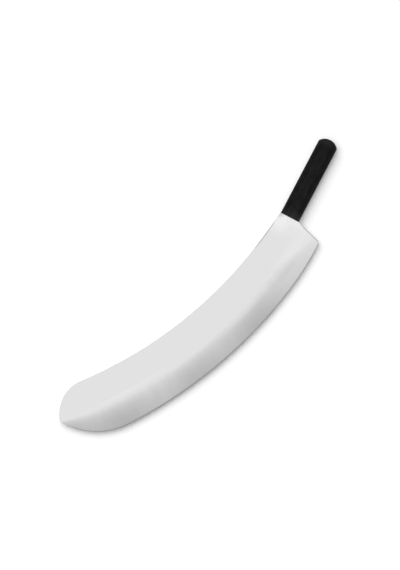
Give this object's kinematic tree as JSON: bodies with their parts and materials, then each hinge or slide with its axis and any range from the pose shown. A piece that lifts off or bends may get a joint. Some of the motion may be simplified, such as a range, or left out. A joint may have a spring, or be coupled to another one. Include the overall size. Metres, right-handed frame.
{
  "type": "mincing knife",
  "caption": "Large curved mincing knife: a ground steel blade with a full tang between black moulded handle scales on hidden pins.",
  "frame": {"origin": "middle of the knife's footprint as it lies flat, on the surface that the lower handle scale rests on", "axes": "+X along the blade from its tip to its heel and handle, +Y from the cutting edge to the spine, +Z square to the blade's flat"},
  "size_m": [0.6156, 0.2087, 0.0226],
  "materials": {
    "blade_steel": "fine satin, bright flat, slightly darker ground face",
    "handle_plastic": "black moulded, soft sheen",
    "pin_steel": "turned, plain"
  },
  "bodies": {
    "root": {"blade": "blade_steel", "handle_scale_upper": "handle_plastic", "handle_scale_lower": "handle_plastic", "tang_pin_1": "pin_steel", "tang_pin_2": "pin_steel", "tang_pin_3": "pin_steel"}
  },
  "joints": []
}
